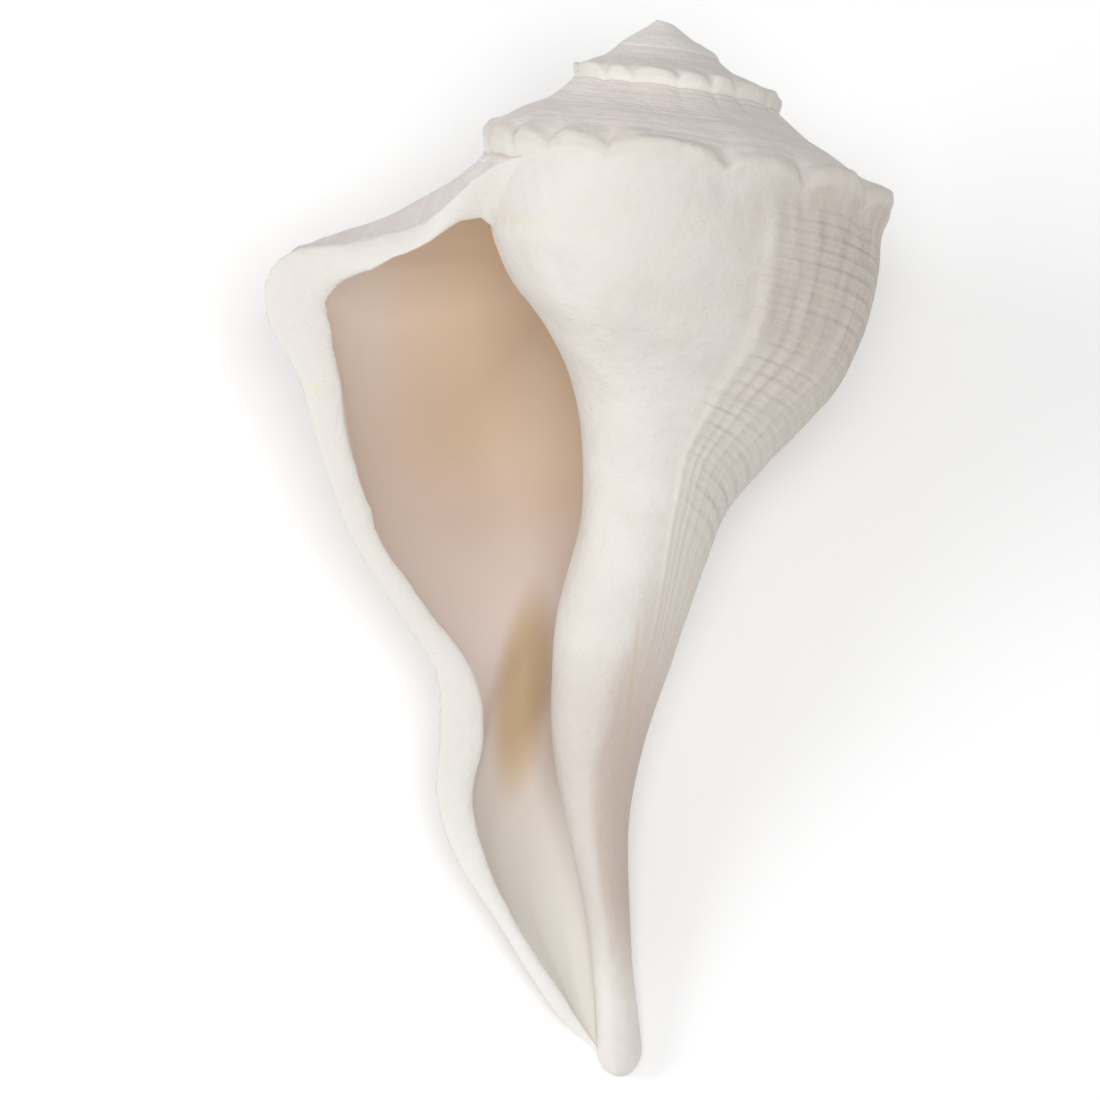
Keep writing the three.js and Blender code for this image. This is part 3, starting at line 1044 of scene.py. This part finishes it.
    def height(self, kit: Kit, skin: Skin) -> Number:
        """Fine relief: growth lines and cords on the bare side, striae on the ramps, pits, grain.

        Args:
            kit: The material's nodes.
            skin: The patterns.

        Returns:
            The height, in mm.
        """
        row, bare, unlined = skin.row, skin.bare, 1.0 - skin.lining
        growth = (skin.streak - 0.5) * (bare * row.step(13.0, 7.0) * 0.22 + 0.03)
        cords = (row * 22.4).math("SINE") * band(row, 4.9, 9.5, 1.2) * bare * (skin.strand * 0.42)
        striae = (skin.strand - 0.5) * skin.ramp * 0.18
        pits = skin.grain.step(0.29, 0.22) * unlined * -0.05
        fine = (kit.noise(skin.where, 2.2, 2.0) - 0.5) * (1.0 - skin.lining * 0.8) * 0.04
        coarse = (kit.noise(skin.where, 0.35, 4.0) - 0.5) * unlined * 0.42
        return growth + cords + striae + pits + fine + coarse

    def material(self, placed: Matrix) -> bpy.types.Material:
        """Makes the material.

        Args:
            placed: The transform from the shell's own axes, in mm, to the scene.

        Returns:
            The material.
        """
        material = bpy.data.materials.new("bleached_shell")
        material.use_nodes = True
        kit = Kit(material.node_tree)
        skin = Skin(kit, placed)
        outer = self.stains(kit, skin, self.outer(kit, skin))
        bump = {"Strength": 1.0, "Distance": MM, "Height": self.height(kit, skin)}
        sockets = {
            "Base Color": kit.mix(skin.inside, outer, self.cavity(kit, skin)),
            "Roughness": self.outer_roughness - skin.inside * self.lining_gloss,
            "Specular IOR Level": self.specular,
            "Normal": kit.node("ShaderNodeBump", {}, bump).outputs[0],
        }
        shader = kit.node("ShaderNodeBsdfPrincipled", {}, sockets)
        kit.node("ShaderNodeOutputMaterial", {}, {0: shader.outputs[0]})
        return material


@dataclass(frozen=True)
class Studio:
    """A pale floor under soft light, and the camera that looks down into the mouth."""

    distance: float = 0.95
    frame_width: float = 0.20794
    sensor: float = 36.0
    lean: float = math.radians(2.2)
    apex_right: float = -0.02023
    apex_down: float = -0.10019
    floor_size: float = 6.0
    lamp_distance: float = 1.6
    sky_strength: float = 0.42

    def axes(self, placed: Matrix) -> tuple[Vector, Vector, Vector]:
        """The camera's axes.

        Args:
            placed: The transform from the shell's own axes, in mm, to the scene.

        Returns:
            Its right, up and back directions, in the scene.
        """
        own = placed.to_3x3().transposed()
        side, up, back = (Vector(own[i]).normalized() for i in range(3))
        right = side * math.cos(self.lean) + up * math.sin(self.lean)
        return right, back.cross(right).normalized(), back

    def camera(self, placed: Matrix) -> None:
        """Sets the camera over the mouth.

        Args:
            placed: The transform from the shell's own axes, in mm, to the scene.
        """
        right, up, back = self.axes(placed)
        apex = placed @ Vector((0, 0, 0))
        aim = apex + right * self.apex_right + up * self.apex_down
        data = bpy.data.cameras.new("camera")
        data.sensor_width = self.sensor
        data.lens = self.sensor * self.distance / self.frame_width
        camera = bpy.data.objects.new("camera", data)
        turned = Matrix((right, up, back)).transposed().to_4x4()
        camera.matrix_world = Matrix.Translation(aim + back * self.distance) @ turned
        bpy.context.scene.collection.objects.link(camera)
        bpy.context.scene.camera = camera

    def floor(self) -> None:
        """Lays the pale floor under the shell."""
        bm = bmesh.new()
        bmesh.ops.create_grid(bm, x_segments=1, y_segments=1, size=self.floor_size / 2)
        mesh = bpy.data.meshes.new("floor")
        bm.to_mesh(mesh)
        bm.free()
        floor = bpy.data.objects.new("floor", mesh)
        bpy.context.scene.collection.objects.link(floor)
        material = bpy.data.materials.new("pale_floor")
        material.use_nodes = True
        kit = Kit(material.node_tree)
        shader = kit.node(
            "ShaderNodeBsdfPrincipled", {},
            {"Base Color": (1.0, 1.0, 1.0, 1.0), "Roughness": 0.9, "Specular IOR Level": 0.0},
        )
        kit.node("ShaderNodeOutputMaterial", {}, {0: shader.outputs[0]})
        mesh.materials.append(material)

    def lamp(self, name: str, aim: Vector, direction: Vector, size: float, power: float) -> None:
        """Hangs one soft square lamp.

        Args:
            name: The lamp's name.
            aim: What it points at.
            direction: Where it is, seen from there.
            size: Its width, in metres.
            power: Its power, in watts.
        """
        data = bpy.data.lights.new(name, "AREA")
        data.shape, data.size, data.energy = "SQUARE", size, power
        lamp = bpy.data.objects.new(name, data)
        lamp.location = aim + direction.normalized() * self.lamp_distance
        lamp.rotation_euler = direction.to_track_quat("Z", "Y").to_euler()
        bpy.context.scene.collection.objects.link(lamp)

    def lights(self, placed: Matrix) -> None:
        """Lights the shell softly from beside the camera and from its left.

        Args:
            placed: The transform from the shell's own axes, in mm, to the scene.
        """
        right, up, back = self.axes(placed)
        aim = placed @ Vector((0, -90, 0))
        self.lamp("front", aim, back + right * 0.08 + up * 0.02, 0.9, 14.0)
        self.lamp("side", aim, back * 0.6 - right + up * 0.25, 1.0, 9.5)
        world = bpy.data.worlds.new("studio")
        world.use_nodes = True
        sky = world.node_tree.nodes["Background"]
        sky.inputs["Color"].default_value = (1, 1, 1, 1)
        sky.inputs["Strength"].default_value = self.sky_strength
        bpy.context.scene.world = world
        bpy.context.scene.view_settings.view_transform = "Standard"

    def build(self, placed: Matrix) -> None:
        """Sets up the floor, the lights and the camera.

        Args:
            placed: The transform from the shell's own axes, in mm, to the scene.
        """
        self.floor()
        self.lights(placed)
        self.camera(placed)


def main() -> None:
    """Builds the shell and its studio."""
    logging.basicConfig(level=logging.INFO)
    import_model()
    shell, placed = WhelkShell().build()
    shell.data.materials.append(BleachedShell().material(placed))
    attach(shell, "root")
    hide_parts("shell")
    LOG.info("%s: %d faces", shell.name, len(shell.data.polygons))
    Studio().build(placed)
    LOG.info("studio: floor, lamps and camera in place")


if __name__ == "__main__":
    main()
